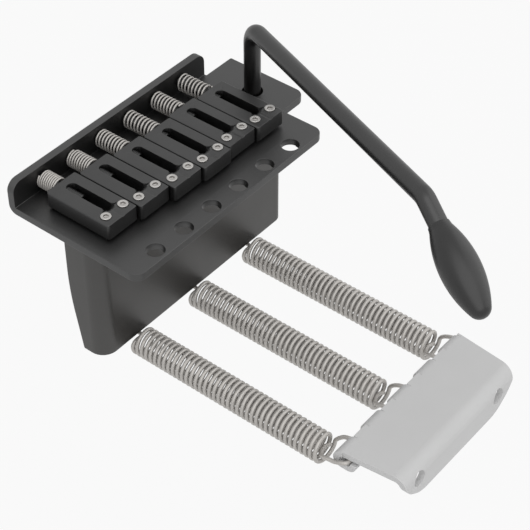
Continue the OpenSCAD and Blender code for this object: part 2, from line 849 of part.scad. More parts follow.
// Bend from the sheet into the flange, as an outline in Y and Z
module claw_bend_outline() {
    centre = [flange_y + claw_bend_r, claw_top - claw_bend_r];
    intersection() {
        translate(centre)
            difference() {
                circle(r = claw_bend_r);
                circle(r = claw_bend_r - claw_t);
            }
        translate(centre - [claw_bend_r, 0]) square([claw_bend_r, claw_bend_r]);
    }
}

module flange_outline() {
    half = claw_half - flange_step;
    top = claw_top - claw_bend_r;
    low = claw_top - flange_h;
    shoulder = low + flange_shoulder_h;
    polygon(rounded([
        [-half, top, 0],
        [-half + flange_shoulder, shoulder, flange_shoulder_r],
        [-half + flange_foot, low, flange_foot_r],
        [half - flange_foot, low, flange_foot_r],
        [half - flange_shoulder, shoulder, flange_shoulder_r],
        [half, top, 0]
    ]));
}

module spring_claw() {
    half = claw_half - flange_step;
    color(claw_steel)
    difference() {
        union() {
            translate([0, 0, claw_top - claw_t]) linear_extrude(claw_t) claw_sheet();
            for (place = [-2 : 2]) translate([hook_x(place), 0, 0]) hook();
            along_x(-half, half) claw_bend_outline();
            translate([0, flange_y + claw_t, 0])
                rotate([90, 0, 0]) linear_extrude(claw_t) flange_outline();
        }
        for (side = [-1, 1])
            translate([side * claw_hole_pitch / 2, flange_y + claw_t + cut, claw_top - claw_hole_drop])
                rotate([90, 0, 0]) cylinder(d = claw_hole_d, h = claw_t + 2 * cut);
    }
}

base_plate();
tremolo_block();
block_screws();
tremolo_arm();
arm_tip();
arm_spring();
for (i = [1 : strings]) {
    saddle(i);
    height_screws(i);
    intonation_screw(i);
    saddle_spring(i);
}
for (k = [1 : 3]) {
    tension_spring(k);
}
spring_claw();
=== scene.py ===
import math

import bmesh
import bpy
import numpy as np
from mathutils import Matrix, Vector


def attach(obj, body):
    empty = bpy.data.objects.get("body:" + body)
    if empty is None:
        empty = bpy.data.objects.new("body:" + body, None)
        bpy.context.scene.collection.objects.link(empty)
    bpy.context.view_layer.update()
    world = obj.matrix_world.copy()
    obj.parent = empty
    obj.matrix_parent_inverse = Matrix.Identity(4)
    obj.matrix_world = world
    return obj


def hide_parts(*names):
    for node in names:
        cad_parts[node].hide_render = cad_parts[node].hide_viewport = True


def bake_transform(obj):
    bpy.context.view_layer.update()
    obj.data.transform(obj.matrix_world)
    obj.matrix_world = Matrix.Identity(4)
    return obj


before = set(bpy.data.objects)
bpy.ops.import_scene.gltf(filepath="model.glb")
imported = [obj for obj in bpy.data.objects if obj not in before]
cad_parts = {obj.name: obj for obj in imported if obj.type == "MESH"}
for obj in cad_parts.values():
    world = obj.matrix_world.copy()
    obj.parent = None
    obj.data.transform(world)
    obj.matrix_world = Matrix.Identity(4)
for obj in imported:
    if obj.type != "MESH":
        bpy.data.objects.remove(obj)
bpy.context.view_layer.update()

mm = 0.001
tau = 2 * math.pi
pitch = 10.5                                             # strings, saddles and mounting holes
saddleFronts = [10.15, 8.95, 7.35, 6.45, 7.2, 6.4]       # front face of each saddle, from the hole row
screwHeight = 5.3                                        # axis of the intonation screws
armAt = (38.4, 22.5)                                     # axis of the arm's post


def stringX(i):
    return (i - 3.5) * pitch


# Camera at the photograph's angle

camera = {"at": (-238.43, -204.56, 265.03), "looksAt": (-13.91, -23.93, 2.2), "lens": 111.15,
          "sensor": 36.0}


def addCamera():
    data = bpy.data.cameras.new("camera")
    data.lens = camera["lens"]
    data.sensor_width = camera["sensor"]
    data.clip_start = 0.01
    data.clip_end = 20
    piece = bpy.data.objects.new("camera", data)
    bpy.context.scene.collection.objects.link(piece)
    piece.location = Vector(camera["at"]) * mm
    aim = Vector(camera["looksAt"]) - Vector(camera["at"])
    piece.rotation_euler = aim.to_track_quat("-Z", "Y").to_euler()
    bpy.context.scene.camera = piece


addCamera()
print("camera set")


# Mesh tools, all in millimetres until a piece is finished

# Four-sided faces between neighbouring rows of a grid of points; each row closes on itself
def quads(rows, columns):
    r = np.arange(rows - 1)[:, None] * columns
    c = np.arange(columns)[None, :]
    n = (c + 1) % columns
    return np.stack([r + c, r + n, r + columns + n, r + columns + c], -1).reshape(-1, 4)


# Several shells in one list of points and faces
def joined(shells):
    starts = np.cumsum([0] + [len(p) for p, f in shells[:-1]])
    return (np.concatenate([p for p, f in shells]),
            np.concatenate([f + s for (p, f), s in zip(shells, starts)]))


# Merges doubled points, drops empty faces and turns every face outwards
def cleaned(mesh):
    bm = bmesh.new()
    bm.from_mesh(mesh)
    bmesh.ops.remove_doubles(bm, verts=bm.verts, dist=2e-4)
    bmesh.ops.dissolve_degenerate(bm, edges=bm.edges, dist=1e-5)
    bmesh.ops.recalc_face_normals(bm, faces=bm.faces)
    bm.to_mesh(mesh)
    bm.free()
    return mesh


def meshOf(shell):
    points, faces = shell
    mesh = bpy.data.meshes.new("shape")
    mesh.from_pydata(points.tolist(), [], faces.tolist())
    return cleaned(mesh)


def pointsOf(mesh):
    flat = np.empty(len(mesh.vertices) * 3, np.float32)
    mesh.vertices.foreach_get("co", flat)
    return flat.reshape(-1, 3).astype(float)


def putPoints(mesh, points):
    mesh.vertices.foreach_set("co", points.astype(np.float32).ravel())
    mesh.update()
    return mesh


# A profile of radius and height turned once round the Z axis: x = r cos a, y = r sin a, z = h.
# The radius may also be given for every angle, one row of radii for each height.
def turned(radii, heights, sides=48):
    a = np.arange(sides) * tau / sides
    r = np.broadcast_to(np.asarray(radii, float).reshape(len(heights), -1), (len(heights), sides))
    h = np.broadcast_to(np.asarray(heights, float)[:, None], r.shape)
    return np.stack([r * np.cos(a), r * np.sin(a), h], -1).reshape(-1, 3), quads(len(heights), sides)


# Rows of a profile, from a list of (radius, height)
def lathed(profile, sides=48):
    r, h = np.array(profile, float).T
    return turned(r, h, sides)


def moved(shell, by):
    return shell[0] + np.array(by, float), shell[1]


# Stands a shell that was turned round Z along Y instead: height becomes y
def alongY(shell):
    x, y, z = shell[0].T
    return np.stack([x, z, -y], -1), shell[1]


# A round wire carried along a path: each ring stands square to the path, at
# centre + r (cos a side + sin a other). The side vector passes from ring to ring with its part along the
# path taken out, so the wire isn't twisted. The first one may be any vector that isn't along the path.
def wire(path, radius, sides=12, first=(0.31, 0.17, 0.93), endCut=0.3):
    path = np.asarray(path, float)
    along = np.gradient(path, axis=0)
    along /= np.linalg.norm(along, axis=1)[:, None]
    side = np.empty_like(path)
    v = np.array(first, float)
    for k in range(len(path)):
        v = v - along[k] * (v @ along[k])
        v = v / np.linalg.norm(v)
        side[k] = v
    other = np.cross(along, side)
    r = np.broadcast_to(np.asarray(radius, float), (len(path),)).copy()
    keep = np.concatenate([[0, 0], np.arange(len(path)), [len(path) - 1] * 2])
    grow = np.ones(len(keep))
    grow[[0, -1]] = 0
    grow[[1, -2]] = 1 - endCut
    centre = path[keep].copy()
    centre[2] += along[0] * r[0] * endCut                # a fine chamfer at each cut end
    centre[-3] -= along[-1] * r[-1] * endCut
    a = np.arange(sides) * tau / sides
    ring = np.cos(a)[None, :, None] * side[keep][:, None] + np.sin(a)[None, :, None] * other[keep][:, None]
    points = centre[:, None] + (r[keep] * grow)[:, None, None] * ring
    return points.reshape(-1, 3), quads(len(keep), sides)


# A curve through given points: each stretch is a cubic whose slopes are half the step between a point's
# neighbours
def throughPoints(points, steps=8):
    p = np.asarray(points, float)
    p = np.concatenate([[2 * p[0] - p[1]], p, [2 * p[-1] - p[-2]]])
    t = np.linspace(0, 1, steps, endpoint=False)[:, None, None]
    a, b, c, d = p[:-3], p[1:-2], p[2:-1], p[3:]
    bow, turn = 2 * a - 5 * b + 4 * c - d, 3 * b - a - 3 * c + d
    out = 0.5 * (2 * b + (c - a) * t + bow * t ** 2 + turn * t ** 3)
    return np.concatenate([out.transpose(1, 0, 2).reshape(-1, 3), p[-2:-1]])


# An outline with rounded corners from (x, y, radius): each corner is an arc that touches both of its sides
def rounded(corners, steps=8):
    c = np.array(corners, float)
    p, r = c[:, :2], c[:, 2:3]
    back, ahead = np.roll(p, 1, 0) - p, np.roll(p, -1, 0) - p
    back /= np.linalg.norm(back, axis=1)[:, None]
    ahead /= np.linalg.norm(ahead, axis=1)[:, None]
    half = np.arccos(np.clip((back * ahead).sum(1), -1, 1))[:, None] / 2
    centre = p + (back + ahead) / np.linalg.norm(back + ahead, axis=1)[:, None] * r / np.sin(half)
    first = p + back * r / np.tan(half) - centre
    side = np.where(back[:, :1] * ahead[:, 1:] - back[:, 1:] * ahead[:, :1] < 0, 1, -1)
    a = side * (math.pi - 2 * half) * np.linspace(0, 1, steps + 1)[None, :]
    x = first[:, :1] * np.cos(a) - first[:, 1:] * np.sin(a)
    y = first[:, :1] * np.sin(a) + first[:, 1:] * np.cos(a)
    return (centre[:, None] + np.stack([x, y], -1)).reshape(-1, 2)


def circle(x, y, r, steps=48):
    a = np.arange(steps) * tau / steps
    return np.stack([x + r * np.cos(a), y + r * np.sin(a)], -1)


# A flat blank from z = 0 to its height, its outline filled, its holes open and all its edges broken
def blank(outline, holes, height, edge):
    curve = bpy.data.curves.new("blank", "CURVE")
    curve.dimensions = "2D"
    curve.fill_mode = "BOTH"
    curve.extrude = height / 2 - edge
    curve.bevel_depth = edge
    curve.bevel_resolution = 1
    curve.offset = -edge
    for loop in [outline] + holes:
        loop = loop[np.linalg.norm(loop - np.roll(loop, 1, 0), axis=1) > 1e-4]
        spline = curve.splines.new("POLY")
        spline.points.add(len(loop) - 1)
        spline.points.foreach_set("co", np.concatenate([loop, loop * 0], 1).ravel())
        spline.use_cyclic_u = True
    work = bpy.data.objects.new("blank", curve)
    bpy.context.scene.collection.objects.link(work)
    graph = bpy.context.evaluated_depsgraph_get()
    mesh = bpy.data.meshes.new_from_object(work.evaluated_get(graph))
    bpy.data.objects.remove(work)
    points = pointsOf(mesh)
    points[:, 2] += height / 2
    return cleaned(putPoints(mesh, points))


# Splits a mesh by planes square to one axis, so that it can bend there
def split(mesh, axis, places):
    bm = bmesh.new()
    bm.from_mesh(mesh)
    square = [0, 0, 0]
    square[axis] = 1
    for place in places:
        at = [0, 0, 0]
        at[axis] = place
        bmesh.ops.bisect_plane(bm, geom=bm.verts[:] + bm.edges[:] + bm.faces[:], dist=1e-4,
                               plane_co=at, plane_no=square)
    bm.to_mesh(mesh)
    bm.free()
    return mesh


# One solid cut from another or joined to it
def combined(mesh, tool, operation="DIFFERENCE"):
    pieces = [bpy.data.objects.new("work", m) for m in (mesh, tool)]
    for piece in pieces:
        bpy.context.scene.collection.objects.link(piece)
    cut = pieces[0].modifiers.new("cut", "BOOLEAN")
    cut.object = pieces[1]
    cut.operation = operation
    cut.solver = "EXACT"
    graph = bpy.context.evaluated_depsgraph_get()
    out = bpy.data.meshes.new_from_object(pieces[0].evaluated_get(graph))
    for piece in pieces:
        bpy.data.objects.remove(piece)
    return cleaned(out)


# Makes the piece: metres, smooth faces with sharp edges kept, its finish, and the body it rides on
def finished(name, mesh, finish, body, nodes, move=(0, 0, 0), sharp=35):
    mesh = mesh.copy()
    mesh.name = name
    putPoints(mesh, (pointsOf(mesh) + np.array(move, float)) * mm)
    mesh.shade_smooth()
    mesh.set_sharp_from_angle(angle=math.radians(sharp))
    mesh.materials.clear()
    mesh.materials.append(finish)
    piece = bpy.data.objects.new(name, mesh)
    bpy.context.scene.collection.objects.link(piece)
    even = piece.modifiers.new("even shading", "WEIGHTED_NORMAL")
    even.keep_sharp = True
    if body:
        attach(piece, body)
    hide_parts(*nodes)
    return piece


# Finishes

blackMetal = {"dark": 0.082, "light": 0.092, "rough": 0.42, "grain": 0.10, "grainSize": 0.35, "patch": 9.0,
              "specular": 0.5, "metal": 1.0}
saddleBlack = {"dark": 0.067, "light": 0.079, "rough": 0.42, "grain": 0.10, "grainSize": 0.3, "patch": 5.0,
               "specular": 0.5, "metal": 1.0}
rodBlack = {"dark": 0.060, "light": 0.068, "rough": 0.36, "grain": 0.06, "grainSize": 0.3, "patch": 12.0,
            "specular": 0.5, "metal": 1.0}
screwBlack = {"dark": 0.044, "light": 0.055, "rough": 0.34, "grain": 0.05, "grainSize": 0.2, "patch": 2.0,
              "specular": 0.5, "metal": 1.0}


# A painted or oxidised surface: two tones drift into each other over a few millimetres, and a fine grain
# roughens the gloss and lifts the surface by some hundredths of a millimetre
def paintedFinish(name, look, tint=(1.0, 1.0, 1.0)):
    material = bpy.data.materials.new(name)
    material.use_nodes = True
    nodes, links = material.node_tree.nodes, material.node_tree.links
    shader = nodes["Principled BSDF"]
    where = nodes.new("ShaderNodeTexCoord")

    def noise(size, detail):
        node = nodes.new("ShaderNodeTexNoise")
        node.inputs["Scale"].default_value = 1 / (size * mm)
        node.inputs["Detail"].default_value = detail
        links.new(where.outputs["Object"], node.inputs["Vector"])
        return node

    drift = noise(look["patch"], 3)
    grain = noise(look["grainSize"], 4)
    tone = nodes.new("ShaderNodeMix")
    tone.data_type = "RGBA"
    tone.inputs[6].default_value = [look["dark"] * t for t in tint] + [1]
    tone.inputs[7].default_value = [look["light"] * t for t in tint] + [1]
    links.new(drift.outputs["Fac"], tone.inputs[0])
    links.new(tone.outputs[2], shader.inputs["Base Color"])
    gloss = nodes.new("ShaderNodeMapRange")
    gloss.inputs["To Min"].default_value = look["rough"] - 0.06
    gloss.inputs["To Max"].default_value = look["rough"] + 0.06
    links.new(grain.outputs["Fac"], gloss.inputs["Value"])
    links.new(gloss.outputs["Result"], shader.inputs["Roughness"])
    lift = nodes.new("ShaderNodeBump")
    lift.inputs["Strength"].default_value = look["grain"]
    lift.inputs["Distance"].default_value = 0.03 * mm
    links.new(grain.outputs["Fac"], lift.inputs["Height"])
    links.new(lift.outputs["Normal"], shader.inputs["Normal"])
    shader.inputs["Metallic"].default_value = look["metal"]
    shader.inputs["Specular IOR Level"].default_value = look["specular"]
    return material


tipGloss = {"dark": 0.008, "light": 0.012, "rough": 0.36, "grain": 0.05, "grainSize": 0.5, "patch": 8.0,
            "specular": 0.5, "metal": 0.0}
nickel = {"dark": 0.40, "light": 0.48, "rough": 0.48, "grain": 0.08, "grainSize": 0.15, "patch": 1.5,
          "specular": 0.5, "metal": 1.0}
springWire = {"dark": 0.42, "light": 0.49, "rough": 0.50, "grain": 0.12, "grainSize": 0.2, "patch": 2.0,
              "specular": 0.5, "metal": 0.45}
clawSatin = {"dark": 0.515, "light": 0.55, "rough": 0.66, "grain": 0.12, "grainSize": 0.3, "patch": 10.0,
             "specular": 0.4, "metal": 0.1}

plateFinish = paintedFinish("black metal", blackMetal)
blockFinish = paintedFinish("black block", blackMetal, (1.0, 0.985, 0.965))
saddleFinish = paintedFinish("black saddle", saddleBlack)
rodFinish = paintedFinish("black rod", rodBlack)
screwFinish = paintedFinish("black screw", screwBlack)
tipFinish = paintedFinish("black plastic", tipGloss)
nickelFinish = paintedFinish("bright nickel", nickel, (1.0, 0.975, 0.94))
wireFinish = paintedFinish("spring wire", springWire, (1.0, 0.96, 0.91))
clawFinish = paintedFinish("satin steel", clawSatin)
print("finishes made")


# Base plate: a sheet blank bent up at the rear

plate = {
    "sheet": 2.2, "side": 36.45, "front": -3.4, "wingSide": 46.5, "wingFront": 10.6, "wingBack": 36.8,
    "lipSide": 36.05, "bendStart": 37.3, "bendMiddle": 1.2, "lipTop": 9.45, "corner": 3.0, "edge": 0.16,
    "wingInside": 0.6, "wingRear": 0.4, "lipFoot": 0.25,                   # radii of the small corners
    "mountHole": 2.42, "knife": 0.35, "stringHole": 1.6, "stringY": 15.2, "lipHole": 1.7, "armHole": 2.85,
    "screwHole": 2.05, "screwY": 17.6, "screwX": (-21, 0, 21), "screwSink": 1.4,
}


# The blank's length s runs over the flat, round a quarter turn and up the lip. With n measured from the
# middle of the sheet, y = start + (r - n) sin a and z = start height - (r - n) cos a round the bend.
def makePlate():
    p = plate
    half, quarter = p["sheet"] / 2, p["bendMiddle"] * math.pi / 2
    bendTop = half + p["bendMiddle"]
    end = p["bendStart"] + quarter + p["lipTop"] - bendTop
    holeS = p["bendStart"] + quarter + screwHeight - bendTop
    outline = rounded([
        (-p["side"], p["front"], p["corner"]), (p["side"], p["front"], p["corner"]),
        (p["side"], p["wingFront"], p["wingInside"]), (p["wingSide"], p["wingFront"], p["corner"]),
        (p["wingSide"], p["wingBack"], p["wingRear"]), (p["lipSide"], p["wingBack"], p["lipFoot"]),
        (p["lipSide"], end, p["corner"]), (-p["side"], end, p["corner"]),
    ])
    holes = [circle(*armAt, p["armHole"])]
    for i in range(1, 7):
        holes += [circle(stringX(i), 0, p["mountHole"]),
                  circle(stringX(i), p["stringY"], p["stringHole"], 32),
                  circle(stringX(i), holeS, p["lipHole"], 32)]
    holes += [circle(x, p["screwY"], p["screwHole"], 32) for x in p["screwX"]]
    mesh = blank(outline, holes, p["sheet"], p["edge"])
    split(mesh, 1, np.linspace(p["bendStart"], p["bendStart"] + quarter, 13))
    split(mesh, 2, [p["sheet"] - p["screwSink"], p["knife"]])
    at = pointsOf(mesh)
    rim = p["edge"] + 0.02                               # a hole's own points lie no further out than this
    for i in range(1, 7):                                # knife edge below each mounting hole's rear half
        away = at[:, :2] - (stringX(i), 0)
        far = np.linalg.norm(away, axis=1)
        low = (far < p["mountHole"] + rim) & (at[:, 2] < p["knife"]) & (at[:, 1] > 0.05)
        at[low, :2] = (stringX(i), 0) + away[low] / far[low, None] * (
            p["mountHole"] + p["knife"] - at[low, 2])[:, None]
    for x in p["screwX"]:                                # cone for each countersunk screw
        away = at[:, :2] - (x, p["screwY"])
        far = np.linalg.norm(away, axis=1)
        high = (far < p["screwHole"] + rim) & (at[:, 2] > p["sheet"] - p["screwSink"])
        at[high, :2] = (x, p["screwY"]) + away[high] / far[high, None] * (
            p["screwHole"] + at[high, 2] - p["sheet"] + p["screwSink"])[:, None]
    s, n = at[:, 1], at[:, 2] - half
    a = np.clip((s - p["bendStart"]) / p["bendMiddle"], 0, math.pi / 2)
    past = np.maximum(s - p["bendStart"] - quarter, 0)
    bent = s > p["bendStart"]
    y = np.where(bent, p["bendStart"] + (p["bendMiddle"] - n) * np.sin(a), s)
    z = np.where(bent, bendTop - (p["bendMiddle"] - n) * np.cos(a) + past, at[:, 2])
    putPoints(mesh, np.stack([at[:, 0], y, z], -1))
    finished("base_plate", cleaned(mesh), plateFinish, "bridge", ["base_plate"])


makePlate()
print("base plate made")


# Block with its boss, bores and spring anchors

block = {
    "x0": -36.0, "x1": 37.0, "front": 10.8, "rear": 21.6, "low": -35.25, "straight": -9.0, "turn": 86.0,
    "slope": 10.0, "leftCorner": 4.5, "rightCorner": 2.75, "rearCorner": 0.5, "edge": 0.45, "topEdge": 0.2,
    "bossR": 5.0, "bossLow": -20.0, "bossEdge": 0.5, "ballBore": 2.1, "ballSeat": -13.0, "ballCone": 1.4,
    "stringHole": 1.6, "stringY": 15.2, "anchorX": 11.15, "anchorY": 12.5, "anchorHole": 0.7,
    "anchorDepth": 6.0, "anchorCone": 1.25, "armBore": 2.35, "armFloor": -18.0,
}


# Rear face: straight, then y = rear - R (1 - cos a) where z = start - R sin a, then a slope
def blockRear(z):
    b = block
    a = math.radians(b["slope"])
    turnY, turnZ = b["rear"] - b["turn"] * (1 - math.cos(a)), b["straight"] - b["turn"] * math.sin(a)
    sine = np.clip((b["straight"] - z) / b["turn"], 0, math.sin(a))
    curve = b["rear"] - b["turn"] * (1 - np.sqrt(1 - sine ** 2))
    return np.where(z < turnZ, turnY - (turnZ - z) * math.tan(a), curve)


# Level outlines stacked from the foot to the top, with a rounded lower edge and a chamfer above. Every bore
# is turned, opens in a cone at the face that it leaves, and runs 1 mm past it.
def makeBlock():
    b = block
    quarter = np.linspace(0, math.pi / 2, 4)
    levels = np.concatenate([b["low"] + b["edge"] * (1 - np.cos(quarter)),
                             np.linspace(b["low"] + 1.5, b["straight"], 22), [-4.0, -0.25, 0.0]])
    inset = np.zeros(len(levels))
    inset[:4] = b["edge"] * (1 - np.sin(quarter))
    inset[-1] = b["topEdge"]
    rows = []
    for z, e in zip(levels, inset):
        rear = float(blockRear(np.array(z)))
        flat = rounded([(b["x0"] + e, b["front"] + e, b["leftCorner"] - e),
                        (b["x1"] - e, b["front"] + e, b["rightCorner"] - e),
                        (b["x1"] - e, rear - e, b["rearCorner"] - e / 2),
                        (b["x0"] + e, rear - e, b["rearCorner"] - e / 2)], 10)
        rows.append(np.column_stack([flat, np.full(len(flat), z)]))
    rows = np.array(rows)
    middle = np.broadcast_to(np.array([0.5, (b["front"] + b["rear"]) / 2, 0.0]), rows[0].shape)
    rows = np.concatenate([[middle + (0, 0, levels[0])], rows, [middle + (0, 0, levels[-1])]])
    mesh = meshOf((rows.reshape(-1, 3), quads(len(rows), rows.shape[1])))
    r, e, bevel = b["bossR"], b["topEdge"], b["bossEdge"]
    boss = lathed([(0, b["bossLow"]), (r - bevel, b["bossLow"]), (r, b["bossLow"] + bevel), (r, -e),
                   (r - e, 0), (0, 0)], 64)
    mesh = combined(mesh, meshOf(moved(boss, (*armAt, 0))), "UNION")
    low, seat = b["low"], b["ballSeat"]
    r, thin = b["ballBore"], b["stringHole"]
    bore = lathed([(0, low - 1), (r + b["ballCone"], low - 1), (r, low + b["ballCone"] - 1), (r, seat),
                   (thin, seat + 0.5), (thin, -0.2), (thin + 1.2, 1), (0, 1)], 40)
    r, floor = b["anchorHole"], low + b["anchorDepth"]
    anchor = lathed([(0, low - 1), (r + b["anchorCone"], low - 1), (r, low + b["anchorCone"] - 1),
                     (r, floor), (0, floor + 0.4)], 24)
    r = b["armBore"]
    armBore = lathed([(0, b["armFloor"]), (r, b["armFloor"]), (r, -0.3), (r + 1.3, 1), (0, 1)], 48)
    tools = [moved(armBore, (*armAt, 0))]
    tools += [moved(bore, (stringX(i), b["stringY"], 0)) for i in range(1, 7)]
    tools += [moved(anchor, (k * b["anchorX"], b["anchorY"], 0)) for k in range(-2, 3)]
    mesh = combined(mesh, meshOf(joined(tools)))
    finished("tremolo_block", mesh, blockFinish, "bridge", ["tremolo_block"], sharp=30)


makeBlock()
print("block made")


# Saddles, all alike, each at its own place

saddle = {
    "half": 5.17, "length": 20.9, "height": 4.4, "floor": 3.1, "corner": 0.7, "edge": 0.14, "topEdge": 0.5,
    "slotX": 0.3, "slotFront": 4.95, "slotFrontR": 1.45, "slotWide": 7.5, "slotR": 1.52, "slotEnd": 18.7,
    "squareness": 0.77, "groove": 0.2, "grooveR": 1.25, "rampFoot": 3.0, "rampSteep": 0.26,
    "channel": 10.9, "boreR": 1.55, "boreCone": 1.9, "screwX": 3.03, "screwY": 3.1, "screwR": 1.43,
}


# Height of a saddle's top: the long edges fall away along a quarter circle of radius R, and the string
# groove dips along a shallow arc. A ramp falls into the slot by k (y - foot)^2 and rises towards its walls
# by R - (R^4 - x^4)^(1/4).
def saddleTop(x, y):
    s = saddle
    edge = np.clip(np.abs(x) - (s["half"] - s["topEdge"]), 0, s["topEdge"])
    top = s["height"] - s["topEdge"] + np.sqrt(s["topEdge"] ** 2 - edge ** 2)
    x = x - s["slotX"]
    front = (np.abs(x) <= s["slotFrontR"]) & (y < s["slotFront"] + s["slotFrontR"])
    groove = s["height"] - s["groove"] + s["grooveR"] - np.sqrt(np.maximum(s["grooveR"] ** 2 - x ** 2, 0))
    groove = np.where(np.abs(x) < s["grooveR"], groove, s["height"])
    wall = s["slotFrontR"] - np.maximum(s["slotFrontR"] ** 4 - x ** 4, 0) ** 0.25
    ramp = s["height"] - s["rampSteep"] * np.maximum(y - s["rampFoot"], 0) ** 2 + wall
    return np.where(front, np.minimum(top, np.minimum(groove, ramp)), top)


# A blank with its slot and the two screws' holes, its top pressed to height. The slot's front end is
# x = R |cos a|^q, y = R |sin a|^q. A round channel along the slot leaves room for the intonation screw.
def makeSaddles():
    s = saddle
    outline = rounded([(-s["half"], 0, s["corner"]), (s["half"], 0, s["corner"]),
                       (s["half"], s["length"], s["corner"]), (-s["half"], s["length"], s["corner"])], 6)
    a = np.linspace(math.pi, tau, 25)
    cosine, sine = [np.sign(v) * np.abs(v) ** s["squareness"] for v in (np.cos(a), np.sin(a))]
    front = np.stack([s["slotFrontR"] * cosine, s["slotFront"] + s["slotFrontR"] * (1 + sine)], -1)
    b = np.linspace(0, math.pi, 25)
    rear = np.stack([s["slotR"] * np.cos(b), s["slotEnd"] - s["slotR"] * (1 - np.sin(b))], -1)
    slot = np.concatenate([front, [[s["slotR"], s["slotWide"]]], rear, [[-s["slotR"], s["slotWide"]]]])
    slot += (s["slotX"], 0)
    holes = [slot]
    holes += [circle(s["slotX"] + side * s["screwX"], s["screwY"], s["screwR"], 40) for side in (-1, 1)]
    mesh = blank(outline, holes, s["height"], s["edge"])
    turn = s["half"] - s["topEdge"] + s["topEdge"] * np.sin(np.radians([0, 15, 30, 45, 60]))
    dip = np.array([0.25, 0.5, 0.68, 0.9, 1.1, 1.22, 1.32, 1.4])              # on each side of the groove
    fall = [3.3, 3.6, 3.9, 4.2, 4.5, 4.75, 5.1, 5.4, 5.7, 6.0]               # along the ramp
    split(mesh, 0, np.concatenate([-turn, turn, s["slotX"] - dip, [s["slotX"]], s["slotX"] + dip]))
    split(mesh, 1, [s["rampFoot"]] + fall)
    at = pointsOf(mesh)
    high = at[:, 2] > s["height"] - s["edge"] - 0.01
    at[high, 2] = saddleTop(at[high, 0], at[high, 1]) - (s["height"] - at[high, 2])
    at[:, 2] += s["floor"]
    cleaned(putPoints(mesh, at))
    r, cone, end = s["boreR"], s["boreCone"], s["length"]
    bore = alongY(lathed([(0, s["channel"]), (r, s["channel"]), (r, end - 0.15), (cone, end + 0.2),
                          (cone, end + 1.1), (0, end + 1.1)], 32))
    mesh = combined(mesh, meshOf(moved(bore, (0, 0, screwHeight))))
    for i in range(1, 7):
        finished(f"saddle_{i}", mesh, saddleFinish, f"saddle_{i}", [f"saddle_{i}"],
                 (stringX(i), saddleFronts[i - 1], 0), sharp=38)


makeSaddles()
print("saddles made")


# Screws with cut threads

setScrew = {"r": 1.38, "low": 2.2, "top": 7.75, "plainTop": 0.3, "chamfer": 0.1, "flats": 1.35,
            "socket": 0.65, "mouth": 0.95, "drillPoint": 0.35, "threadPitch": 0.5, "threadDepth": 0.22}
longScrew = {"r": 1.5, "start": 23.7, "seat": 39.75, "headR": 2.4, "head": 1.7, "crown": 0.45,
             "chamfer": 0.3, "plainLength": 0.6, "edge": 0.1, "threadPitch": 0.5, "threadDepth": 0.24,
             "recess": ((0.35, 1.65), (1.65, 0.35)), "recessDepth": 1.2}


# Radius of a thread at each height and angle: r - depth * w, where w rises and falls between 0 and 1 once
# for every pitch of height less the part of a turn already made, and fades out at both ends
def threadRadii(r, depth, lead, heights, sides):
    turn = heights[:, None] / lead - np.arange(sides)[None, :] / sides
    w = np.abs(2 * (turn - np.floor(turn)) - 1)
    ends = np.minimum(heights - heights[0], heights[-1] - heights) / lead
    return r - depth * w * np.clip(ends[:, None] * 2, 0, 1)


# Turned from the round foot up the thread to the flat top, then down the hexagon socket, whose radius is
# half the flats / cos a between its corners
def makeSetScrews():
    s = setScrew
    sides = 36
    a = np.arange(sides) * tau / sides
    ball = np.linspace(-math.pi / 2, 0, 9)
    z = np.arange(s["low"] + s["r"], s["top"] - s["plainTop"], s["threadPitch"] / 6)
    hexagon = s["flats"] / 2 / np.cos(np.mod(a + math.pi / 6, math.pi / 3) - math.pi / 6)
    plain = np.ones(sides)
    radii = np.concatenate([
        np.outer(s["r"] * np.cos(ball[:-1]), plain),
        threadRadii(s["r"], s["threadDepth"], s["threadPitch"], z, sides),
        [plain * s["r"], plain * (s["r"] - s["chamfer"]), plain * s["mouth"], hexagon, hexagon, plain * 0]])
    top, floor = s["top"], s["top"] - s["socket"]
    heights = np.concatenate([s["low"] + s["r"] * (1 + np.sin(ball[:-1])), z,
                              [top - s["chamfer"], top, top, top - 0.1, floor, floor - s["drillPoint"]]])
    one = turned(radii, heights, sides)
    places = [(saddle["slotX"] + side * saddle["screwX"], saddle["screwY"], 0) for side in (-1, 1)]
    mesh = meshOf(joined([moved(one, place) for place in places]))
    for i in range(1, 7):
        finished(f"height_screws_{i}", mesh, nickelFinish, f"height_{i}", [f"height_screws_{i}"],
                 (stringX(i), saddleFronts[i - 1], 0), sharp=28)


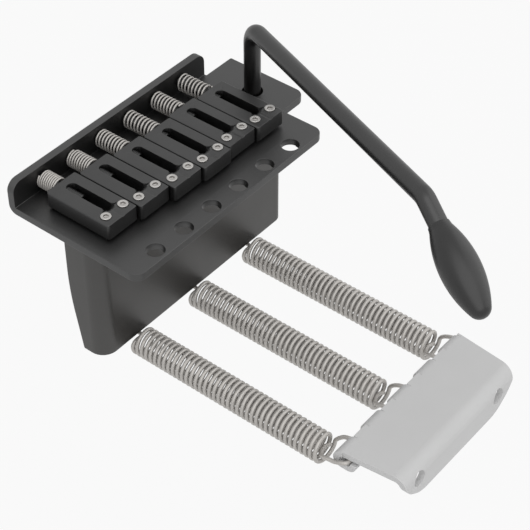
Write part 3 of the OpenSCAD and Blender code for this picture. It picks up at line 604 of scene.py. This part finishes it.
# Turned from the cut end along the thread to the head, whose crown is r cos a out and h sin a up. Two
# crossed wedges cut the recess.
def makeLongScrews():
    s = longScrew
    sides = 28
    z = np.arange(s["start"] + s["chamfer"], s["seat"] - s["plainLength"], s["threadPitch"] / 6)
    plain = np.ones(sides)
    crown = [(s["headR"] * math.cos(a), s["seat"] + s["crown"] + (s["head"] - s["crown"]) * math.sin(a))
             for a in np.radians([0, 12, 25, 38, 50, 60, 70, 80, 90])]
    neck, seat = s["r"] - s["edge"], s["seat"]
    head = [(neck, seat - 0.5), (neck, seat), (s["headR"] - s["edge"], seat), (s["headR"], seat + 0.12)]
    head += crown
    radii = np.concatenate([[plain * 0, plain * (s["r"] - s["chamfer"])],
                            threadRadii(s["r"], s["threadDepth"], s["threadPitch"], z, sides),
                            [plain * r for r, h in head]])
    heights = np.concatenate([[s["start"]] * 2, z, [h for r, h in head]])
    mesh = meshOf(alongY(turned(radii, heights, sides)))
    top = s["seat"] + s["head"]
    recess = []
    corners = np.array([(-1, 0, -1), (1, 0, -1), (1, 0, 1), (-1, 0, 1)])
    for w, l in s["recess"]:                             # half width and half length, less at the floor
        rows = np.array([corners * (w, 0, l) * k + (0, top + d, 0)
                         for k, d in ((1.05, 0.3), (0.6, -s["recessDepth"]))])
        ends = [np.broadcast_to(rows[k].mean(0), rows[k].shape) for k in (0, 1)]
        rows = np.array([ends[0], rows[0], rows[1], ends[1]])
        recess.append(meshOf((rows.reshape(-1, 3), quads(4, 4))))
    for tool in recess:
        mesh = combined(mesh, tool)
    for i in range(1, 7):
        finished(f"intonation_screw_{i}", mesh, screwFinish, f"intonation_{i}", [f"intonation_screw_{i}"],
                 (stringX(i), 0, screwHeight), sharp=28)


makeSetScrews()
makeLongScrews()
print("screws made")


# Compression springs

saddleSpring = {"r": 2.25, "wire": 0.52, "turns": 8.5, "closed": 0.5, "rings": 24, "seat": 0.15,
                "above": 0.15}
armSpring = {"r": 1.5, "wire": 0.5, "turns": 4.5, "closed": 0.75, "rings": 20, "low": -18.0, "high": -13.0}


# The point at angle a is r cos a, y, -r sin a, while y grows by little more than the wire in each closed
# turn at the ends and evenly between them
def compressed(s, y0, y1, phase=0.0):
    t = np.linspace(0, s["turns"], int(s["turns"] * s["rings"]) + 1)
    dead, live = s["wire"] * 1.06, s["turns"] - 2 * s["closed"]
    free = (y1 - y0 - s["wire"] - 2 * s["closed"] * dead) / live
    y = y0 + s["wire"] / 2 + dead * t + (free - dead) * np.clip(t - s["closed"], 0, live)
    a = phase + tau * t
    return np.stack([s["r"] * np.cos(a), y, -s["r"] * np.sin(a)], -1)


def makeSaddleSprings():
    s = saddleSpring
    y1 = plate["bendStart"] + plate["bendMiddle"] - plate["sheet"] / 2 - s["seat"]
    for i in range(1, 7):
        y0 = saddleFronts[i - 1] + saddle["length"] + s["seat"]
        path = compressed(s, y0, y1, phase=0.9 * i)
        mesh = meshOf(wire(path, s["wire"] / 2, 10, first=(1, 0, 0)))
        name = f"saddle_spring_{i}"
        spring = finished(name, mesh, wireFinish, None, [name],
                          (stringX(i), 0, screwHeight + s["above"]), sharp=60)
        spring.modifiers.clear()
        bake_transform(spring)


def makeArmSpring():
    s = armSpring
    path = compressed(s, s["low"], s["high"])[:, [0, 2, 1]]
    finished("arm_spring", meshOf(wire(path, s["wire"] / 2, 10, first=(1, 0, 0))), wireFinish, "bridge",
             ["arm_spring"], (*armAt, 0), sharp=60)


makeSaddleSprings()
makeArmSpring()
print("small springs made")


# Arm: rod bent twice in one plane, and its plastic tip

arm = {"r": 2.3, "low": -13.0, "corner": 22.43, "bend": 5.5, "rise": 8.65, "length": 94.7, "toe": 27.2,
       "fall": 22.7, "tipBend": 5.0, "tipStart": 5.5, "intoTip": 3.0}
tip = {"start": 1.8, "rim": 2.56, "length": 25.1, "r": 4.675, "belly": 12.9, "curve": 26.3, "dome": 2.66}


# Path in the arm's own plane: straight, arc, straight, arc, straight. Each arc turns about a centre square
# to the line it leaves.
def armPath():
    q = arm
    up, turn1, turn2 = math.pi / 2, math.radians(90 - q["rise"]), math.radians(q["rise"] + q["fall"])
    at = np.array([0.0, q["corner"] - q["bend"] * math.tan(turn1 / 2)])
    points = [[0.0, q["low"]], [0.0, q["low"] + 0.5], [0.0, 0.0], [0.0, at[1] - 0.5]]
    heading = up
    straight = q["length"] - q["bend"] * math.tan(turn1 / 2) - q["tipBend"] * math.tan(turn2 / 2)
    for r, turn, run in ((q["bend"], turn1, straight), (q["tipBend"], turn2, None)):
        a = np.linspace(0, turn, 19)
        right = np.array([math.sin(heading), -math.cos(heading)])
        ahead = np.array([math.cos(heading), math.sin(heading)])
        arc = at + r * (np.outer(np.sin(a), ahead) + np.outer(1 - np.cos(a), right))
        points += arc.tolist()
        at, heading = arc[-1], heading - turn
        ahead = np.array([math.cos(heading), math.sin(heading)])
        if run:
            points += [(at + ahead * k).tolist() for k in np.linspace(0.5, run - 0.5, 12)]
            at = at + ahead * run
    left = q["tipStart"] - q["tipBend"] * math.tan(turn2 / 2)
    tipAt = at + ahead * left
    points += [(at + ahead * k).tolist() for k in (0.3, left, left + q["intoTip"])]
    return np.array(points), tipAt, ahead


def inArmPlane(along, up):
    a = math.radians(arm["toe"])
    return np.stack([armAt[0] - along * math.sin(a), armAt[1] - along * math.cos(a), up], -1)


def makeArm():
    flat, tipAt, ahead = armPath()
    path = inArmPlane(flat[:, 0], flat[:, 1])
    a = math.radians(arm["toe"])
    square = (math.cos(a), -math.sin(a), 0)
    mesh = meshOf(wire(path, arm["r"], 48, first=square, endCut=0.22))
    finished("tremolo_arm", mesh, rodFinish, "arm", ["tremolo_arm"], sharp=40)
    t = tip
    middle = t["length"] - t["dome"]
    slope = math.asin((middle - t["belly"]) / (t["curve"] - t["dome"]))
    h = np.linspace(t["start"] + 1.2, t["belly"] + t["curve"] * math.sin(slope), 40)
    barrel = t["r"] - t["curve"] + np.sqrt(t["curve"] ** 2 - (h - t["belly"]) ** 2)
    cap = np.linspace(slope, math.pi / 2, 16)[1:]
    rim, start = t["rim"], t["start"]
    profile = [(arm["r"] + 0.005, start + 0.25), (arm["r"] + 0.03, start), (rim - 0.1, start),
               (rim - 0.03, start + 0.03), (rim, start + 0.12), (rim + 0.04, start + 0.5)]
    profile += list(zip(barrel, h))
    profile += list(zip(t["dome"] * np.cos(cap), middle + t["dome"] * np.sin(cap))) + [(0, start + 0.25)]
    x, y, z = lathed(profile, 72)[0].T
    forward = inArmPlane(ahead[0:1], ahead[1:2])[0] - inArmPlane(np.zeros(1), np.zeros(1))[0]
    side = np.array(square)
    third = np.cross(forward, side)
    foot = inArmPlane(tipAt[0:1], tipAt[1:2])[0]
    points = foot + x[:, None] * side + y[:, None] * third + z[:, None] * forward
    mesh = meshOf((points, quads(len(profile), 72)))
    finished("arm_tip", mesh, tipFinish, "arm", ["arm_tip"], sharp=50)


makeArm()
print("arm made")


# Tension springs, each with a loop in the claw and an end in the block

tension = {
    "r": 3.62, "wire": 1.1, "start": -50.2, "end": 10.15, "turns": 39.5, "rings": 24, "axis": -37.5,
    "places": (-22.3, 0.0, 22.3), "aside": (-0.4, 0.2, 0.4), "hookY": -58.1, "anchorY": 12.5,
    "underZ": 1.55, "bend": 1.0, "endTop": 7.25,
    "inner": [(2.3, -49.9, -0.6), (1.5, -49.4, -0.5), (0.2, -49.2, -0.25), (-1.2, -49.4, 0.05),
              (-2.4, -50.0, 0.4)],
    "nearLeg": [(-3.3, -50.9, 0.8), (-3.7, -51.9, 1.25), (-3.85, -53.3, 1.85), (-3.9, -54.6, 2.1),
                (-3.9, -55.8, 2.5), (-3.85, -57.0, 3.1)],
    "bar": [(-3.55, -58.0, 3.4), (-2.7, -58.5, 3.4), (0.0, -58.62, 3.4), (2.7, -58.5, 3.4),
            (3.5, -58.0, 3.4)],
    "farLeg": [(3.8, -57.0, 3.4), (3.85, -55.5, 3.25), (3.85, -53.8, 2.95), (3.85, -52.4, 2.35)],
}


# The coil is r cos a across, -r sin a up, and grows evenly along Y, a little to the side of its hook. The
# loop is a curve through given points, a bow like a D that passes through the hook. The other end turns
# along the block's foot and up into it.
def tensionPath(aside):
    s = tension
    last = [(aside / 2 + 3.75, s["start"] - 1.1, 1.55), (aside + s["r"] + 0.05, s["start"] - 0.35, 0.7),
            (aside + s["r"], s["start"], 0)]
    loop = throughPoints(s["inner"] + s["nearLeg"] + s["bar"] + s["farLeg"] + last, 5)[:-1]
    t = np.arange(int(s["turns"] * s["rings"]) + 1) / s["rings"]
    y = s["start"] + (s["end"] - s["start"]) * t / s["turns"]
    coil = np.stack([aside + s["r"] * np.cos(tau * t), y, -s["r"] * np.sin(tau * t)], -1)
    u, e = s["underZ"], s["bend"]
    v = np.radians(np.arange(15, 91, 15))
    up = np.stack([aside - s["r"] + u * (1 - np.cos(v)), v * 0 + s["end"], u * np.sin(v)], -1)
    w = np.radians(np.arange(0, 91, 15))
    across = np.stack([-e * (1 - np.sin(w)), s["end"] + e * (1 - np.cos(w)), w * 0 + u], -1)
    rise = np.stack([w * 0, s["anchorY"] - e * (1 - np.sin(w)), u + e * (1 - np.cos(w))], -1)
    return np.concatenate([loop, coil, up, across, rise, [[0, s["anchorY"], s["endTop"]]]])


def makeTensionSprings():
    s = tension
    for k, (x, aside) in enumerate(zip(s["places"], s["aside"]), 1):
        mesh = meshOf(wire(tensionPath(aside), s["wire"] / 2, 12))
        name = f"tension_spring_{k}"
        spring = finished(name, mesh, wireFinish, None, [name], (x, 0, s["axis"]), sharp=60)
        spring.modifiers.clear()
        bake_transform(spring)


makeTensionSprings()
print("tension springs made")


# Claw: a sheet blank with its flange turned down and five tongues rolled into hooks

claw = {
    "sheet": 1.7, "top": -31.8, "side": 25.6, "neck": 24.15, "middle": 0.55, "front": -55.6,
    "flangeY": -73.2, "bendMiddle": 2.65, "flangeLow": -41.75, "flangeSide": 23.3, "flangeMiddle": 0.28,
    "lowCorner": (6.85, 8.0), "sideCorner": (1.95, 3.55, 9.0), "neckCorner": 4.0,
    "hookPitch": 11.15, "hookHalf": 3.1, "relief": 0.06, "rollY": -56.7, "rollMiddle": 1.7, "back": 1.7,
    "curl": 1.65, "hole": 2.15, "holeX": 17.2, "holeZ": -36.1, "edge": 0.04,
}


# The blank's length s is 0 where the flange ends and the bend starts. Past the roll's start a tongue
# follows y = centre + (r + n) sin a, z = centre + (r + n) cos a for half a turn, runs straight back and
# curls up. Each corner is (middle, x, s, radius): the flange and the sheet have their own middles.
def makeClaw():
    c = claw
    half, quarter = c["sheet"] / 2, c["bendMiddle"] * math.pi / 2
    bendY = c["flangeY"] + c["bendMiddle"]
    sheetZ = c["top"] - half
    roll = quarter + c["rollY"] - bendY
    turnEnd = roll + math.pi * c["rollMiddle"]
    backEnd = turnEnd + c["back"]
    end = backEnd + c["curl"] * c["rollMiddle"]

    def onSheet(y):
        return quarter + y - bendY

    flangeTop = c["top"] - half - c["bendMiddle"]
    front, low, side = onSheet(c["front"]), c["flangeLow"] - flangeTop, c["flangeSide"]
    below, above = c["flangeMiddle"], c["middle"]
    lowIn, lowR = c["lowCorner"]
    sideIn, sideUp, sideR = c["sideCorner"]
    corners = [(below, side - lowIn, low, lowR), (below, side - sideIn, low + sideUp, sideR),
               (below, side, 0.0, c["neckCorner"]), (above, c["neck"], quarter + 0.3, c["neckCorner"]),
               (above, c["side"], front, 0.05)]
    edge = []
    slit = roll - 0.1                                    # the slits beside a hook end just before its roll
    for k in (2, 1, 0, -1, -2):
        x, w, q = k * c["hookPitch"], c["hookHalf"], c["relief"]
        edge += [(x + w + q, front, 0.08), (x + w + q, slit, 0.02), (x + w, slit, 0.02), (x + w, end, 0.35),
                 (x - w, end, 0.35), (x - w, slit, 0.02), (x - w - q, slit, 0.02), (x - w - q, front, 0.08)]
    far = [(middle + x, s, r) for middle, x, s, r in corners]
    near = [(middle - x, s, r) for middle, x, s, r in corners[::-1]]
    near[0] = (near[0][0], slit, 0.02)                   # the last hook stands past the sheet, with no slit
    outline = rounded(far + edge[:-2] + near, 8)
    holes = [circle(side * c["holeX"], c["holeZ"] - flangeTop, c["hole"]) for side in (-1, 1)]
    mesh = blank(outline, holes, c["sheet"], c["edge"])
    split(mesh, 1, np.concatenate([
        np.linspace(0, quarter, 11), np.linspace(roll, turnEnd, 21), np.linspace(backEnd, end, 12)]))
    x, s, n = pointsOf(mesh).T
    n = n - half
    a = np.clip(s / c["bendMiddle"], 0, math.pi / 2)
    y = np.where(s < quarter, bendY - (c["bendMiddle"] + n) * np.cos(a), bendY + s - quarter)
    z = np.where(s < quarter, flangeTop + (c["bendMiddle"] + n) * np.sin(a) + np.minimum(s, 0), sheetZ + n)
    beside = np.abs(x - np.round(x / c["hookPitch"]) * c["hookPitch"])
    tongue = (beside < c["hookHalf"] + 0.01) & (s > roll)
    a = np.clip((s - roll) / c["rollMiddle"], 0, math.pi)
    b = np.clip((s - backEnd) / c["rollMiddle"], 0, c["curl"]) + math.pi
    back = np.clip(s - turnEnd, 0, c["back"])
    a = np.where(s > backEnd, b, a)
    rollZ = sheetZ - c["rollMiddle"]
    y = np.where(tongue, c["rollY"] - back + (c["rollMiddle"] + n) * np.sin(a), y)
    z = np.where(tongue, rollZ + (c["rollMiddle"] + n) * np.cos(a), z)
    putPoints(mesh, np.stack([x, y, z], -1))
    finished("spring_claw", cleaned(mesh), clawFinish, "claw", ["spring_claw"], sharp=40)


makeClaw()
print("claw made")


# The three screws between plate and block keep their frame shape

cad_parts["block_screws"].data.materials.clear()
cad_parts["block_screws"].data.materials.append(screwFinish)


# Studio: pale floor, white surroundings and soft lamps

studio = {"floor": -0.16, "size": 6.0, "cells": 24, "pale": 0.9, "shown": 0.956, "keepsShade": 0.05,
          "fill": 0.52}


# 1 for rays from the camera and for those that a metal or clear surface sends on, else 0
def seenDirectly(nodes, links):
    rays = nodes.new("ShaderNodeLightPath")
    value = rays.outputs["Is Camera Ray"]
    for other in ("Is Glossy Ray", "Is Transmission Ray"):
        most = nodes.new("ShaderNodeMath")
        most.operation = "MAXIMUM"
        links.new(value, most.inputs[0])
        links.new(rays.outputs[other], most.inputs[1])
        value = most.outputs[0]
    return value


def makeStudio():
    s = studio
    n = s["cells"]
    t = np.linspace(-1, 1, n + 1) * s["size"] / 2
    x, y = np.meshgrid(t, t)
    z = s["floor"] + 0 * x
    points = np.stack([x, y, z], -1).reshape(-1, 3)
    k = np.arange(n)[:, None] * (n + 1) + np.arange(n)[None, :]
    faces = np.stack([k, k + 1, k + n + 2, k + n + 1], -1).reshape(-1, 4)
    mesh = bpy.data.meshes.new("floor")
    mesh.from_pydata(points.tolist(), [], faces.tolist())
    floor = bpy.data.objects.new("floor", mesh)
    bpy.context.scene.collection.objects.link(floor)
    material = bpy.data.materials.new("floor")
    material.use_nodes = True
    nodes, links = material.node_tree.nodes, material.node_tree.links
    nodes.remove(nodes["Principled BSDF"])
    matte = nodes.new("ShaderNodeBsdfDiffuse")
    matte.inputs["Color"].default_value = [s["pale"]] * 3 + [1]
    white = nodes.new("ShaderNodeEmission")
    white.inputs["Color"].default_value = [s["shown"]] * 3 + [1]
    share = nodes.new("ShaderNodeMath")
    share.operation = "MULTIPLY"
    share.inputs[1].default_value = 1 - s["keepsShade"]
    links.new(seenDirectly(nodes, links), share.inputs[0])
    mix = nodes.new("ShaderNodeMixShader")
    links.new(share.outputs[0], mix.inputs[0])
    links.new(matte.outputs[0], mix.inputs[1])
    links.new(white.outputs[0], mix.inputs[2])
    links.new(mix.outputs[0], nodes["Material Output"].inputs["Surface"])
    mesh.materials.append(material)

    world = bpy.data.worlds.new("studio")
    bpy.context.scene.world = world
    world.use_nodes = True
    nodes, links = world.node_tree.nodes, world.node_tree.links
    back = nodes["Background"]
    back.inputs["Color"].default_value = (1, 1, 1, 1)
    strength = nodes.new("ShaderNodeMapRange")
    strength.inputs["To Min"].default_value = s["fill"]
    strength.inputs["To Max"].default_value = 1.0
    links.new(seenDirectly(nodes, links), strength.inputs["Value"])
    links.new(strength.outputs["Result"], back.inputs["Strength"])

    for name, at, size, power in (("key", (-0.9, -0.7, 1.5), 3.0, 24.0),
                                  ("side", (1.2, -0.8, 0.9), 2.4, 10.0)):
        data = bpy.data.lights.new(name, "AREA")
        data.shape = "DISK"
        data.size = size
        data.energy = power
        lamp = bpy.data.objects.new(name, data)
        bpy.context.scene.collection.objects.link(lamp)
        lamp.location = at
        lamp.rotation_euler = (-Vector(at)).to_track_quat("-Z", "Y").to_euler()


makeStudio()
bpy.context.scene.view_settings.view_transform = "Standard"
print("studio set")
